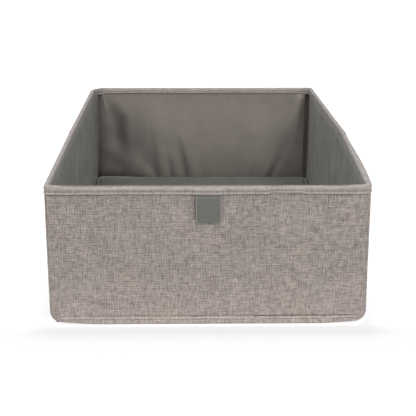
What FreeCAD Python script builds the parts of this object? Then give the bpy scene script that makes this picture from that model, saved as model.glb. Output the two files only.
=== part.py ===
import FreeCAD, Part
import math
import os

# A soft storage box with stiffened walls and an open top. Lengths are in millimetres.
# X runs to the right, Y away from the front and Z up. The origin is the middle of the
# whole box's outline, on the ground.

# Overall size, measured over the rim binding from corner to corner.
WIDTH = 320.0
DEPTH = 500.0
HEIGHT = 148.0

# The layers of a wall, from the outside in, and the strip that binds the rim.
FABRIC = 0.8
BOARD = 2.0
BOARD_EASE = 0.3
LINING = 0.5
BINDING = 0.7
BINDING_DROP_OUTSIDE = 10.5
BINDING_DROP_INSIDE = 9.5

# The side walls fold in half, and their folds stand a little proud at the rim.
FOLD_FROM_FRONT = 225.0
FOLD_GAP = 3.0
BOW_LEFT = 1.0
BOW_RIGHT = 8.0

# Corner radii of the outer fabric, at the rim and low down, where nothing stiffens it.
RIM_RADIUS_FRONT_LEFT = 6.0
RIM_RADIUS_FRONT_RIGHT = 15.0
RIM_RADIUS_BACK_RIGHT = 4.0
RIM_RADIUS_BACK_LEFT = 12.0
LOW_RADIUS = 14.0
FOOT_RADIUS = 22.0
LEAST_RADIUS = 0.4
BOARD_CORNER_MARGIN = 1.0

# Below the boards the cloth turns under in a soft roll to the seam of the base.
ROLL = 4.5
ROLL_STEPS = 3
BOARD_FOOT = 10.0

# The base cloth and its seam allowance, which stands up inside and leans inwards.
BASE_CLOTH = 0.6
ALLOWANCE_THICKNESS = 1.6
ALLOWANCE_RISE = 11.2
ALLOWANCE_LEAN = 8.0

# The loose base insert: a board sewn into two sheets that meet in a flat flange.
INSERT_CLEARANCE = 2.0
INSERT_BACK_ROOM = 8.0
INSERT_REST_GAP = 0.3
INSERT_BOARD = 3.2
INSERT_SHEET = 0.5
INSERT_FLANGE = 5.5
INSERT_RADIUS = 12.0
INSERT_SLOPE_INNER = 1.0
INSERT_SLOPE_OUTER = 1.6
INSERT_TOP_EASE = 0.3

# The pull tab: a ribbon folded double, whose tail is sewn under the binding.
TAB_WIDTH = 25.0
TAB_LENGTH = 27.0
TAB_THICKNESS = 1.4
TAB_SLIT = 0.2
TAB_CORNER = 1.8
TAB_GAP = 0.3
TAB_HINGE_DROP = 1.5
TAIL_RISE = 6.0
BULGE_SIDE = 3.5
BULGE_TOP = 2.5
BULGE_FADE = 0.02

# Folds in the loose lining of the back wall: which side they are measured from, the
# distance from that side's seam low down and high up, and their breadth and height.
BACK_FOLDS = (
    ("left", 24.0, 22.0, 36.0, 6.0),
    ("left", 76.0, 56.0, 30.0, 5.5),
    ("left", 106.0, 84.0, 22.0, 4.0),
    ("left", 131.0, 118.0, 22.0, 3.5),
    ("right", 57.0, 50.0, 28.0, 3.5),
    ("right", 21.0, 18.0, 34.0, 5.5),
)
# The folds lean between these two heights, which are shares of the wall's height.
FOLD_HEAD_SHARE = 0.66
FOLD_FOOT_SHARE = 0.13
# Heights where the folds are drawn, from the rim down, with the share of their height.
FOLD_LEVELS = (
    (0.90, 0.0),
    (FOLD_HEAD_SHARE, 0.45),
    (0.36, 0.85),
    (FOLD_FOOT_SHARE, 1.0),
)
# The straight facets across each fold, which follow the wave of a cosine.
FOLD_STEPS = 6

# Values that follow from those above.
LINING_FACE = FABRIC + BOARD + 2 * BOARD_EASE
WALL = LINING_FACE + LINING
TAB_PROUD = 2 * TAB_THICKNESS + TAB_GAP - BINDING
CENTRE_X = (BOW_LEFT - BOW_RIGHT) / 2
CENTRE_Y = TAB_PROUD / 2
LEFT = CENTRE_X - WIDTH / 2 + BINDING
RIGHT = CENTRE_X + WIDTH / 2 - BINDING
FRONT = CENTRE_Y - DEPTH / 2 + BINDING
BACK = CENTRE_Y + DEPTH / 2 - BINDING
FOLD_Y = FRONT + FOLD_FROM_FRONT
RIM_UNDER = HEIGHT - BINDING
BINDING_EDGE = HEIGHT - BINDING_DROP_OUTSIDE
CORNER_SPAN = BOARD_CORNER_MARGIN + max(
    RIM_RADIUS_FRONT_LEFT,
    RIM_RADIUS_FRONT_RIGHT,
    RIM_RADIUS_BACK_RIGHT,
    RIM_RADIUS_BACK_LEFT,
    LOW_RADIUS,
)
INSERT_UNDERSIDE = ALLOWANCE_RISE + INSERT_REST_GAP
INSERT_SEAM = INSERT_UNDERSIDE + INSERT_SHEET + INSERT_BOARD / 2
# Solids that cut others reach past them by this much.
SPARE = 1.0
# Half-spaces that part the corners reach this far, past any of the walls.
FAR = 2 * (WIDTH + DEPTH + HEIGHT)


def vector(x, y, z=0.0):
    return FreeCAD.Vector(x, y, z)


def slab(low, high):
    """Everything between two heights."""
    return Part.makeBox(2 * FAR, 2 * FAR, high - low, vector(-FAR, -FAR, low))


def block(x_range, y_range, z_range):
    """A box between the given limits."""
    size = [high - low for low, high in (x_range, y_range, z_range)]
    return Part.makeBox(*size, vector(x_range[0], y_range[0], z_range[0]))


def wall_corners(height):
    """The corners and side folds of the fabric's outer face at a height, with radii."""
    up = max(0.0, (height - ROLL) / (HEIGHT - ROLL))
    down = max(0.0, (ROLL - height) / ROLL)

    def radius(at_rim):
        return LOW_RADIUS + (at_rim - LOW_RADIUS) * up + (FOOT_RADIUS - LOW_RADIUS) * down

    return (
        (vector(LEFT, FRONT), radius(RIM_RADIUS_FRONT_LEFT)),
        (vector(RIGHT, FRONT), radius(RIM_RADIUS_FRONT_RIGHT)),
        (vector(RIGHT + BOW_RIGHT * up, FOLD_Y), None),
        (vector(RIGHT, BACK), radius(RIM_RADIUS_BACK_RIGHT)),
        (vector(LEFT, BACK), radius(RIM_RADIUS_BACK_LEFT)),
        (vector(LEFT - BOW_LEFT * up, FOLD_Y), None),
    )


def inset_corner(before, corner, after, inset):
    """A corner moved in from both of its walls, and the walls' directions and normals."""
    along_in = (corner - before).normalize()
    along_out = (after - corner).normalize()
    normal_in = vector(-along_in.y, along_in.x)
    normal_out = vector(-along_out.y, along_out.x)
    share = inset / (1.0 + normal_in.dot(normal_out))
    return corner + (normal_in + normal_out) * share, along_in, along_out


def rounded(point, along_in, along_out, radius):
    """The start, middle and end of the arc that rounds a corner."""
    half_turn = along_in.getAngle(along_out) / 2
    reach = radius * math.tan(half_turn)
    start = point - along_in * reach
    end = point + along_out * reach
    inward = (along_out - along_in).normalize()
    centre = point + inward * (radius / math.cos(half_turn))
    return start, centre - inward * radius, end


def ring(inset, height):
    """The outline of the walls at a height, set in from the fabric's outer face."""
    corners = wall_corners(height)
    lift = vector(0, 0, height)
    spans = []
    for index, (corner, radius) in enumerate(corners):
        before = corners[index - 1][0]
        after = corners[(index + 1) % len(corners)][0]
        point, along_in, along_out = inset_corner(before, corner, after, inset)
        if radius is None:
            spans.append((point + lift,))
        else:
            bend = max(radius - inset, LEAST_RADIUS)
            arc = rounded(point, along_in, along_out, bend)
            spans.append(tuple(place + lift for place in arc))
    edges = []
    for index, span in enumerate(spans):
        following = spans[(index + 1) % len(spans)]
        if len(span) > 1:
            edges.append(Part.Arc(*span).toShape())
        edges.append(Part.makeLine(span[-1], following[0]))
    return Part.Wire(edges)


def loft(rings):
    """A solid through outlines, straight from one to the next."""
    return Part.makeLoft(rings, True, True)


def roll_rings(side, foot):
    """Outlines of the roll under, from the seam of the base up to the upright wall."""
    rings = []
    for step in range(ROLL_STEPS, -1, -1):
        angle = math.radians(90.0 * step / ROLL_STEPS)
        inset = ROLL - (ROLL - side) * math.cos(angle)
        rings.append(ring(inset, ROLL - (ROLL - foot) * math.sin(angle)))
    return rings


def upright(inset):
    """The space inside the walls' outline above the roll, set in from the fabric."""
    return loft([ring(inset, ROLL), ring(inset, HEIGHT + SPARE)])


def filled(side, foot):
    """The space inside a layer's outer face, down to the seam of the base."""
    return loft(roll_rings(side, foot) + [ring(side, HEIGHT + SPARE)])


def hollow(side, foot):
    """The space inside a layer's inner face, open below through the base."""
    below = [ring(ROLL, -SPARE), ring(ROLL, foot)]
    return loft(below + roll_rings(side, foot)[1:] + [ring(side, HEIGHT + SPARE)])


def corner_wedges():
    """Four wedges, one for each wall, that part the fabric along its corner seams."""
    low, high = -SPARE, HEIGHT + SPARE
    middle = (RIGHT - LEFT) / 2
    ridge_front = vector(CENTRE_X, FRONT + middle, low)
    ridge_back = vector(CENTRE_X, BACK - middle, low)
    outer = {
        "front_left": vector(CENTRE_X - FAR, FRONT + middle - FAR, low),
        "front_right": vector(CENTRE_X + FAR, FRONT + middle - FAR, low),
        "back_right": vector(CENTRE_X + FAR, BACK - middle + FAR, low),
        "back_left": vector(CENTRE_X - FAR, BACK - middle + FAR, low),
    }
    outlines = {
        "front": (outer["front_left"], outer["front_right"], ridge_front),
        "back": (outer["back_right"], outer["back_left"], ridge_back),
        "right": (outer["front_right"], outer["back_right"], ridge_back, ridge_front),
        "left": (outer["back_left"], outer["front_left"], ridge_front, ridge_back),
    }
    wedges = {}
    for side, points in outlines.items():
        face = Part.Face(Part.makePolygon(points + (points[0],)))
        wedges[side] = face.extrude(vector(0, 0, high - low))
    return wedges


def outer_panels():
    """The four fabric panels, sewn at the corners, that turn under at the foot."""
    cloth = filled(0.0, 0.0).cut(hollow(FABRIC, FABRIC))
    cloth = cloth.common(slab(-SPARE, RIM_UNDER))
    wedges = corner_wedges()
    return {"outer_" + side: cloth.common(wedge) for side, wedge in wedges.items()}


def boards():
    """The stiffeners: one in the front and back, and two in each folding side."""
    outer_face = FABRIC + BOARD_EASE
    layer = upright(outer_face).cut(upright(outer_face + BOARD))
    layer = layer.common(slab(BOARD_FOOT, RIM_UNDER))
    span_x = (LEFT + CORNER_SPAN, RIGHT - CORNER_SPAN)
    fore = (FRONT + CORNER_SPAN, FOLD_Y - FOLD_GAP / 2)
    rear = (FOLD_Y + FOLD_GAP / 2, BACK - CORNER_SPAN)
    heights = (0.0, HEIGHT)
    places = {
        "board_front": (span_x, (-FAR, CENTRE_Y), heights),
        "board_back": (span_x, (CENTRE_Y, FAR), heights),
        "board_left_front": ((-FAR, CENTRE_X), fore, heights),
        "board_left_rear": ((-FAR, CENTRE_X), rear, heights),
        "board_right_front": ((CENTRE_X, FAR), fore, heights),
        "board_right_rear": ((CENTRE_X, FAR), rear, heights),
    }
    return {name: layer.common(block(*place)) for name, place in places.items()}


def lining_panels():
    """The front lining and the two side linings, which turn the corners."""
    cloth = filled(LINING_FACE, FABRIC).cut(hollow(WALL, FABRIC + LINING))
    cloth = cloth.common(slab(FABRIC, RIM_UNDER))
    seam_left = LEFT + CORNER_SPAN
    seam_right = RIGHT - CORNER_SPAN
    heights = (-SPARE, HEIGHT)
    places = {
        "lining_front": ((seam_left, seam_right), (-FAR, CENTRE_Y), heights),
        "lining_left": ((-FAR, seam_left), (-FAR, FAR), heights),
        "lining_right": ((seam_right, FAR), (-FAR, FAR), heights),
    }
    return {name: cloth.common(block(*place)) for name, place in places.items()}


def fold_outline(height, inset, share):
    """One level of the folded lining: a thin closed outline with a wave at each fold."""
    seam_left = LEFT + CORNER_SPAN
    seam_right = RIGHT - CORNER_SPAN
    drop = (FOLD_HEAD_SHARE - height / HEIGHT) / (FOLD_HEAD_SHARE - FOLD_FOOT_SHARE)
    drop = min(1.0, max(0.0, drop))
    crest = [(seam_left, 0.0)]
    places = []
    for side, low, high, breadth, rise in BACK_FOLDS:
        away = high + (low - high) * drop
        middle = seam_left + away if side == "left" else seam_right - away
        places.append((middle, breadth, rise))
    for middle, breadth, rise in sorted(places):
        for step in range(FOLD_STEPS + 1):
            across = step / FOLD_STEPS
            wave = (1.0 - math.cos(2.0 * math.pi * across)) / 2
            crest.append((middle + breadth * (across - 0.5), rise * share * wave))
    crest.append((seam_right, 0.0))
    far_face = [vector(x, BACK - inset - out, height) for x, out in crest]
    near_face = [point - vector(0, LINING) for point in reversed(far_face)]
    return Part.makePolygon(far_face + near_face + [far_face[0]])


def lining_back():
    """The back lining, loose between its seams, with its main folds."""
    outlines = [fold_outline(RIM_UNDER, LINING_FACE, 0.0)]
    for level, share in FOLD_LEVELS:
        outlines.append(fold_outline(level * HEIGHT, LINING_FACE, share))
    outlines.append(fold_outline(ROLL, LINING_FACE, 0.0))
    seam_face = ROLL - LINING
    outlines.append(fold_outline(FABRIC + LINING, seam_face, 0.0))
    return {"lining_back": loft(outlines)}


def tail_place():
    """Where the tab's tail lies on the fabric under the binding."""
    across = (CENTRE_X - TAB_WIDTH / 2, CENTRE_X + TAB_WIDTH / 2)
    low = BINDING_EDGE - TAB_HINGE_DROP + TAB_GAP
    return across, (FRONT - TAB_THICKNESS, FRONT), (low, BINDING_EDGE + TAIL_RISE)


def tab_tail():
    """The sewn end of the ribbon, which stays on the wall under the binding."""
    return {"tab_tail": block(*tail_place())}


def bulge():
    """The swelling of the binding over the tab's tail, which fades out upwards."""
    half = TAB_WIDTH / 2

    def section(height, out):
        face = FRONT - BINDING
        points = (
            vector(CENTRE_X - half - BULGE_SIDE, FRONT, height),
            vector(CENTRE_X - half - BULGE_SIDE, face, height),
            vector(CENTRE_X - half - BINDING, face - out, height),
            vector(CENTRE_X + half + BINDING, face - out, height),
            vector(CENTRE_X + half + BULGE_SIDE, face, height),
            vector(CENTRE_X + half + BULGE_SIDE, FRONT, height),
        )
        return Part.makePolygon(points + (points[0],))

    tail_top = BINDING_EDGE + TAIL_RISE
    fade = min(tail_top + BULGE_TOP, RIM_UNDER)
    levels = (BINDING_EDGE, tail_top, fade)
    outs = (TAB_THICKNESS, TAB_THICKNESS, BULGE_FADE)
    return loft([section(level, out) for level, out in zip(levels, outs)])


def rim_binding():
    """The strip folded over the rim, with its outer leaf, cap and inner leaf."""
    outside = upright(-BINDING)
    inside = upright(WALL + BINDING)
    outer_leaf = outside.cut(upright(0.0)).common(slab(BINDING_EDGE, RIM_UNDER))
    inner_edge = HEIGHT - BINDING_DROP_INSIDE
    inner_leaf = upright(WALL).cut(inside).common(slab(inner_edge, RIM_UNDER))
    cap = outside.cut(inside).common(slab(RIM_UNDER, HEIGHT))
    strip = outer_leaf.fuse([inner_leaf, cap, bulge()])
    return {"rim_binding": strip.cut(block(*tail_place())).removeSplitter()}


def tab_profile(half_thickness, top, bottom, y):
    """A long rounded outline in the plane across the tab."""
    x = CENTRE_X - TAB_WIDTH / 2
    upper = top - half_thickness
    lower = bottom + half_thickness
    near, far = y - half_thickness, y + half_thickness
    arch = Part.Arc(vector(x, near, upper), vector(x, y, top), vector(x, far, upper))
    cup = Part.Arc(vector(x, far, lower), vector(x, y, bottom), vector(x, near, lower))
    edges = [
        arch.toShape(),
        Part.makeLine(vector(x, far, upper), vector(x, far, lower)),
        cup.toShape(),
        Part.makeLine(vector(x, near, lower), vector(x, near, upper)),
    ]
    return Part.Face(Part.Wire(edges))


def pull_tab():
    """The free loop of ribbon, whose round top end turns about the hinge line."""
    half = TAB_THICKNESS / 2
    y = FRONT - TAB_THICKNESS - TAB_GAP - half
    top = BINDING_EDGE - TAB_HINGE_DROP + half
    bottom = BINDING_EDGE - TAB_LENGTH
    body = tab_profile(half, top, bottom, y).extrude(vector(TAB_WIDTH, 0, 0))
    slit_half = TAB_SLIT / 2
    leaf = half - slit_half
    slit = tab_profile(slit_half, top - half, bottom + leaf, y)
    body = body.cut(slit.extrude(vector(TAB_WIDTH, 0, 0)))
    half_width = TAB_WIDTH / 2
    across = (CENTRE_X - half_width, CENTRE_X + half_width)
    shape = block(across, (y - TAB_THICKNESS, y + TAB_THICKNESS), (bottom, top + SPARE))
    low_edges = [
        edge
        for edge in shape.Edges
        if abs(edge.CenterOfMass.z - bottom) < half and abs(edge.CenterOfMass.x - CENTRE_X) > half
    ]
    return {"pull_tab": body.common(shape.makeFillet(TAB_CORNER, low_edges))}


def base_cloth():
    """The cloth under the box, with its seam allowance standing up inside."""
    seam = ring(ROLL, 0.0)
    floor = loft([seam, ring(ROLL, BASE_CLOTH)])
    outer_lean = [ring(ROLL, BASE_CLOTH), ring(ROLL + ALLOWANCE_LEAN, ALLOWANCE_RISE)]
    inner_start = ROLL + ALLOWANCE_THICKNESS
    inner_end = inner_start + ALLOWANCE_LEAN
    inner_lean = [ring(inner_start, BASE_CLOTH), ring(inner_end, ALLOWANCE_RISE)]
    allowance = loft(outer_lean).cut(loft(inner_lean))
    return {"base_cloth": floor.fuse(allowance).removeSplitter()}


def insert_outline(grow, height):
    """The insert board's outline with rounded corners, grown by a distance."""
    edge = WALL + INSERT_CLEARANCE + INSERT_FLANGE + INSERT_SLOPE_INNER - grow
    x_low, x_high = LEFT + edge, RIGHT - edge
    y_low = FRONT + edge
    y_high = BACK - edge - INSERT_BACK_ROOM + INSERT_CLEARANCE
    bend = max(INSERT_RADIUS - INSERT_FLANGE - INSERT_SLOPE_INNER + grow, LEAST_RADIUS)
    corners = (
        (vector(x_low, y_low), vector(0, -1), vector(1, 0)),
        (vector(x_high, y_low), vector(1, 0), vector(0, 1)),
        (vector(x_high, y_high), vector(0, 1), vector(-1, 0)),
        (vector(x_low, y_high), vector(-1, 0), vector(0, -1)),
    )
    lift = vector(0, 0, height)
    arcs = [rounded(point, into, out, bend) for point, into, out in corners]
    edges = []
    for index, arc in enumerate(arcs):
        following = arcs[(index + 1) % len(arcs)]
        edges.append(Part.Arc(*(place + lift for place in arc)).toShape())
        edges.append(Part.makeLine(arc[2] + lift, following[0] + lift))
    return Part.Wire(edges)


def insert_sheet(direction):
    """One of the insert's two sheets, as a shallow tray with a flange at the seam."""
    half = INSERT_BOARD / 2
    inner = INSERT_SEAM + direction * half
    outer = inner + direction * INSERT_SHEET
    shell = loft(
        [
            insert_outline(INSERT_SLOPE_OUTER, INSERT_SEAM),
            insert_outline(INSERT_TOP_EASE, outer),
        ]
    )
    room = loft(
        [insert_outline(INSERT_SLOPE_INNER, INSERT_SEAM), insert_outline(0.0, inner)]
    )
    flange_edge = INSERT_SLOPE_INNER + INSERT_FLANGE
    flange_face = INSERT_SEAM + direction * INSERT_SHEET
    flange = loft(
        [insert_outline(flange_edge, INSERT_SEAM), insert_outline(flange_edge, flange_face)]
    )
    return shell.fuse(flange).cut(room).removeSplitter()


def base_insert():
    """The insert's stiff board and the two sheets that it is sewn into."""
    low = INSERT_SEAM - INSERT_BOARD / 2
    board = Part.Face(insert_outline(0.0, low)).extrude(vector(0, 0, INSERT_BOARD))
    return {
        "insert_board": board,
        "insert_sheet_top": insert_sheet(1),
        "insert_sheet_bottom": insert_sheet(-1),
    }


def write(shapes):
    """Writes each piece to a STEP file of its own."""
    os.makedirs("parts", exist_ok=True)
    for name, shape in shapes.items():
        solids = shape.Solids
        whole = solids[0] if len(solids) == 1 else Part.makeCompound(solids)
        whole.exportStep(os.path.join("parts", name + ".step"))
        print(name, len(solids), "solid", round(whole.Volume, 1), "mm3", whole.isValid())


for make in (
    outer_panels,
    boards,
    lining_panels,
    lining_back,
    rim_binding,
    tab_tail,
    pull_tab,
    base_cloth,
    base_insert,
):
    write(make())
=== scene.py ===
# %% [markdown]
# A fabric storage box for a wardrobe shelf: stiff walls in a linen-look cloth, a grey
# non-woven lining, a bound rim, a loose base insert and a ribbon tab to pull it by.
# The frame is the measured model of every part. We keep its positions, and dress it in
# cloth, thread and light. Sizes are written in millimetres and turned to metres once.

# %% Load the measured frame
import bmesh
import bpy
import math
from mathutils import Matrix, Vector, noise


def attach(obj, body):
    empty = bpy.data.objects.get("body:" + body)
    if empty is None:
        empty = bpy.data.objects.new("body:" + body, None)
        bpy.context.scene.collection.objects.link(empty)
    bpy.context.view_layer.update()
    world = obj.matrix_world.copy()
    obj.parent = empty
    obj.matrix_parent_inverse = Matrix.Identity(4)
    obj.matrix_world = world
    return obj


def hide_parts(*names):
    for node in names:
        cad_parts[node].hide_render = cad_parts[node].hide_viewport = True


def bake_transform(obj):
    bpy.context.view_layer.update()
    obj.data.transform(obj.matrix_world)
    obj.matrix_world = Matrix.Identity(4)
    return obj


MM = 0.001
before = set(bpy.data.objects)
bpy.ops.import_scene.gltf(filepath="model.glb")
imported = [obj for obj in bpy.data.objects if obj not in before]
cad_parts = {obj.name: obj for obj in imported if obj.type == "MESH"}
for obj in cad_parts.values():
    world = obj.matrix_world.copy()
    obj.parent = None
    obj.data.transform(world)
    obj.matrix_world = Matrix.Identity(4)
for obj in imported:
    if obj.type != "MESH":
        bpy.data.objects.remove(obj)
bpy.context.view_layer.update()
print("frame pieces:", len(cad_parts))

# %% [markdown]
# The camera stands low in front of the box and looks down a little, turned a hair to
# the right. A long lens keeps the side walls from flaring. Each turn is a matrix, and
# they are read from right to left: roll, tip down, then turn.

# %% Camera
VIEW_PIXELS = 416
CAMERA_SPOT = Vector((-19.32, -1168.25, 422.64)) * MM
CAMERA_TURN, CAMERA_TIP, CAMERA_ROLL = (math.radians(a) for a in (1.0065, 17.927, 0.1367))
LENS_PIXELS = 985.61

camera = bpy.data.objects.new("camera", bpy.data.cameras.new("camera"))
camera.data.lens = LENS_PIXELS / VIEW_PIXELS * camera.data.sensor_width
camera.data.clip_end = 50.0
camera.matrix_world = (
    Matrix.Translation(CAMERA_SPOT)
    @ Matrix.Rotation(-CAMERA_TURN, 4, "Z")
    @ Matrix.Rotation(math.pi / 2 - CAMERA_TIP, 4, "X")
    @ Matrix.Rotation(CAMERA_ROLL, 4, "Z")
)
bpy.context.scene.collection.objects.link(camera)
bpy.context.scene.camera = camera
bpy.context.scene.view_settings.view_transform = "Standard"
print("lens", round(camera.data.lens, 2), "mm")

# %% [markdown]
# Every finish below is a small graph of nodes. One function adds a node, gives it its
# settings and feeds its inputs, either from another node's output or with a value.
# Colours are picked as sRGB hex, as a paint program shows them, and shaders work in
# linear light, so one function turns the one into the other.


# %% Helpers for materials
def linear(code, alpha=1.0):
    """A colour written as sRGB hex, in linear light."""
    parts = [int(code[i : i + 2], 16) / 255 for i in (1, 3, 5)]
    return (*(p / 12.92 if p <= 0.04045 else ((p + 0.055) / 1.055) ** 2.4 for p in parts), alpha)


def add(tree, kind, feeds=None, **settings):
    """Adds a node with its settings, feeds its inputs, and gives back its outputs."""
    made = tree.nodes.new("ShaderNode" + kind)
    for name, value in settings.items():
        setattr(made, name, value)
    for name, value in (feeds or {}).items():
        if isinstance(value, bpy.types.NodeSocket):
            tree.links.new(value, made.inputs[name])
        else:
            made.inputs[name].default_value = value
    return made.outputs


# A Mix node set to colours takes its factor and two colours at these places.
MIX_FACTOR, MIX_A, MIX_B, MIX_RESULT = 0, 6, 7, 2
# How dark the deepest painted shade makes a colour.
DARKEST_PAINTED_SHADE = 0.45


def new_material(name):
    """An empty material, its node tree and the tree's output."""
    material = bpy.data.materials.new(name)
    material.use_nodes = True
    material.node_tree.nodes.clear()
    return material, material.node_tree


def paint_light_and_shade(tree, colour):
    """Paints light and shade into a cloth's colour by its painted_shading: at 1 it is darkest,
    painted shade, and under 0 it is paler, painted light.
    """
    painted_shading = add(tree, "Attribute", attribute_name="painted_shading")["Fac"]
    dull = add(tree, "MapRange", {"Value": painted_shading, "To Min": 1.0, "To Max": DARKEST_PAINTED_SHADE},
               clamp=False)[0]
    return add(tree, "VectorMath", {0: colour, "Scale": dull}, operation="SCALE")[0]


def give_surface(tree, settings, height=None, strength=0.0, depth=0.0):
    """A surface with its settings, and fine relief from a height, depth in mm."""
    if height is not None:
        settings["Normal"] = add(tree, "Bump", {
            "Height": height, "Strength": strength, "Distance": depth * MM})[0]
    add(tree, "OutputMaterial", {"Surface": add(tree, "BsdfPrincipled", settings)[0]})


# %% [markdown]
# Product light: a bright even surround and three big soft lamps, so that a colour comes
# out about as it is written. The camera sees the surround as white, and so do
# reflections, while the cloth is lit by its softer level. The floor is pale and matte.
# Part of what the camera sees of it is a white glow, which is painted light. It goes
# by the distance from the box's foot: less of it near the box paints a soft shadow there,
# more of it at the very foot and beside and behind the box lightens the box's own
# shadow, and far off the floor fades to white.

# %% World, lamps and floor
SURROUND_LEVEL = 0.35
world = bpy.data.worlds.new("studio")
bpy.context.scene.world = world
world.use_nodes = True
world.node_tree.nodes.clear()


def seen_directly(tree):
    """1 for rays from the camera, a mirror or glass, and 0 for rays that carry light."""
    path = add(tree, "LightPath")
    sharp = add(tree, "Math", {0: path["Is Glossy Ray"], 1: path["Is Transmission Ray"]},
                operation="MAXIMUM")[0]
    return add(tree, "Math", {0: path["Is Camera Ray"], 1: sharp}, operation="MAXIMUM")[0]


sky = world.node_tree
surround, backdrop = (
    add(sky, "Background", {"Color": linear("#FFFFFF"), "Strength": level})[0]
    for level in (SURROUND_LEVEL, 1.0))
seen = add(sky, "MixShader", {0: seen_directly(sky), 1: surround, 2: backdrop})[0]
add(sky, "OutputWorld", {"Surface": seen})

LAMPS = (
    # name, spot in metres, aim in metres, width and height in metres, watts
    ("key", (1.0, -1.9, 1.9), (0.0, 0.0, 0.05), (0.7, 0.7), 23.5),
    ("top", (-0.2, -0.5, 2.4), (0.0, 0.1, 0.00), (1.2, 1.2), 17.0),
    ("side", (-1.9, -0.3, 1.5), (0.1, 0.0, 0.05), (0.8, 0.8), 9.0),
)
for name, spot, aim, size, watts in LAMPS:
    lamp = bpy.data.objects.new(name, bpy.data.lights.new(name, "AREA"))
    lamp.data.shape = "RECTANGLE"
    (lamp.data.size, lamp.data.size_y), lamp.data.energy = size, watts
    lamp.location = spot
    lamp.rotation_euler = (Vector(aim) - Vector(spot)).to_track_quat("-Z", "Y").to_euler()
    lamp.visible_camera = False
    bpy.context.scene.collection.objects.link(lamp)

FLOOR_REACH = 9.0
STAND_CENTRE, STAND_HALF = (-0.0035, 0.0012, 0.0), (0.1590, 0.2490, 1.0)
STAND_ROUND = 0.012
shape = bmesh.new()
bmesh.ops.create_grid(shape, x_segments=1, y_segments=1, size=FLOOR_REACH)
floor_mesh = bpy.data.meshes.new("floor")
shape.to_mesh(floor_mesh)
shape.free()
floor = bpy.data.objects.new("floor", floor_mesh)
bpy.context.scene.collection.objects.link(floor)

paper, tree = new_material("Matte white floor")
direct = seen_directly(tree)
pale = add(tree, "Mix", {MIX_FACTOR: direct, MIX_A: linear("#F4F4F4"), MIX_B: linear("#B0B0B0")},
           data_type="RGBA")[MIX_RESULT]
matte = add(tree, "BsdfDiffuse", {"Color": pale})[0]
place = add(tree, "TexCoord")["Object"]
# How far a spot lies outside the box's foot, whose corners are rounded.
outside, nothing = place, (0.0, 0.0, 0.0)
for other, operation in ((STAND_CENTRE, "SUBTRACT"), (nothing, "ABSOLUTE"),
                         (tuple(s - STAND_ROUND for s in STAND_HALF), "SUBTRACT"),
                         (nothing, "MAXIMUM")):
    outside = add(tree, "VectorMath", {0: outside, 1: other}, operation=operation)[0]
away = add(tree, "VectorMath", {0: outside}, operation="LENGTH")[1]
back = add(tree, "SeparateXYZ", {0: place})[1]
GLOWS = (
    # what it goes by, from, to, its light at each end, and how it changes between
    # Rows: painted shadow near the foot, white far off, painted light at the very foot, and painted
    # light beside and behind the box.
    (away, STAND_ROUND, STAND_ROUND + 0.045, 0.41, 0.57, "SMOOTHSTEP"),
    (away, 0.03, 0.5, 0.0, 0.30, "LINEAR"),
    (away, STAND_ROUND, STAND_ROUND + 0.006, 0.20, 0.0, "LINEAR"),
    (back, -0.27, -0.235, 0.0, 0.27, "SMOOTHSTEP"),
)
light = 0.0
for value, start, end, low, high, change in GLOWS:
    part = add(tree, "MapRange", {"Value": value, "From Min": start, "From Max": end,
                                  "To Min": low, "To Max": high}, interpolation_type=change)[0]
    light = add(tree, "Math", {0: light, 1: part}, operation="ADD")[0]
level = add(tree, "Math", {0: direct, 1: light}, operation="MULTIPLY")[0]
glow = add(tree, "Emission", {"Color": linear("#FFFFFF"), "Strength": level})[0]
add(tree, "OutputMaterial", {"Surface": add(tree, "AddShader", {0: matte, 1: glow})[0]})
floor_mesh.materials.append(paper)

# %% [markdown]
# The walls are one outline that rises from the base seam to the rim. It has four
# rounded corners, tight where the binding holds them and rounder low down, and each
# side wall bows a little at the fold it collapses on. Every cloth is laid on this
# outline, so we need just one rule: how far along a wall, how high, how far in. A soft
# box is not quite even: its front corners flare, its right side swells near the front,
# and its foot lifts a little at the corners. Small rules of their own add that.

# %% The outline of the walls
LEFT, RIGHT, FRONT, BACK = -162.8, 155.8, -248.1, 250.5
RIM, ROLL, FOLD_Y = 148.0, 4.5, -23.1
BOW_RIGHT, BOW_LEFT = 8.0, -1.0
FOLD_SOFTNESS = 0.012
LOW_RADIUS, FOOT_RADIUS, FOOT_RISE, LEAST_RADIUS = 4.5, 15.0, 14.0, 0.4
WALLS = ("front", "right", "back", "left")
CORNERS = [Vector(c) for c in ((LEFT, FRONT), (RIGHT, FRONT), (RIGHT, BACK), (LEFT, BACK))]
RIM_RADII = (5.0, 9.0, 4.0, 22.0)
SIDE_BULGE, FOOT_LIFT = 2.4, 2.6
MIDDLE = Vector(((LEFT + RIGHT) / 2, (FRONT + BACK) / 2))
LENGTHS = {"front": RIGHT - LEFT, "right": BACK - FRONT, "back": RIGHT - LEFT, "left": BACK - FRONT}


def ease(value, low, high):
    """0 below low, 1 above high, and a smooth rise between."""
    t = min(1.0, max(0.0, (value - low) / (high - low)))
    return t * t * (3.0 - 2.0 * t)


def swell(distance, reach):
    """A smooth hump that is 1 at distance 0 and gone at reach."""
    return 0.0 if abs(distance) >= reach else (1.0 + math.cos(math.pi * distance / reach)) / 2


def corner_radius(corner, height):
    """The radius of a corner of the outer cloth at a height."""
    up = max(0.0, (height - ROLL) / (RIM - ROLL))
    down = ease(FOOT_RISE - height, 0.0, FOOT_RISE)
    return LOW_RADIUS + (RIM_RADII[corner] - LOW_RADIUS) * up + (FOOT_RADIUS - LOW_RADIUS) * down


def bow(x, y, height):
    """How far a side wall leans out at its middle fold."""
    up = max(0.0, (height - ROLL) / (RIM - ROLL))
    reach = (y - FRONT) / (FOLD_Y - FRONT) if y < FOLD_Y else (BACK - y) / (BACK - FOLD_Y)
    short = 1.0 - max(0.0, reach)
    peak = 1.0 + FOLD_SOFTNESS - math.hypot(short, FOLD_SOFTNESS)
    side = (x - MIDDLE.x) / (RIGHT - MIDDLE.x)
    return (BOW_RIGHT if side > 0 else BOW_LEFT) * up * peak * min(1.0, abs(side))


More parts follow.
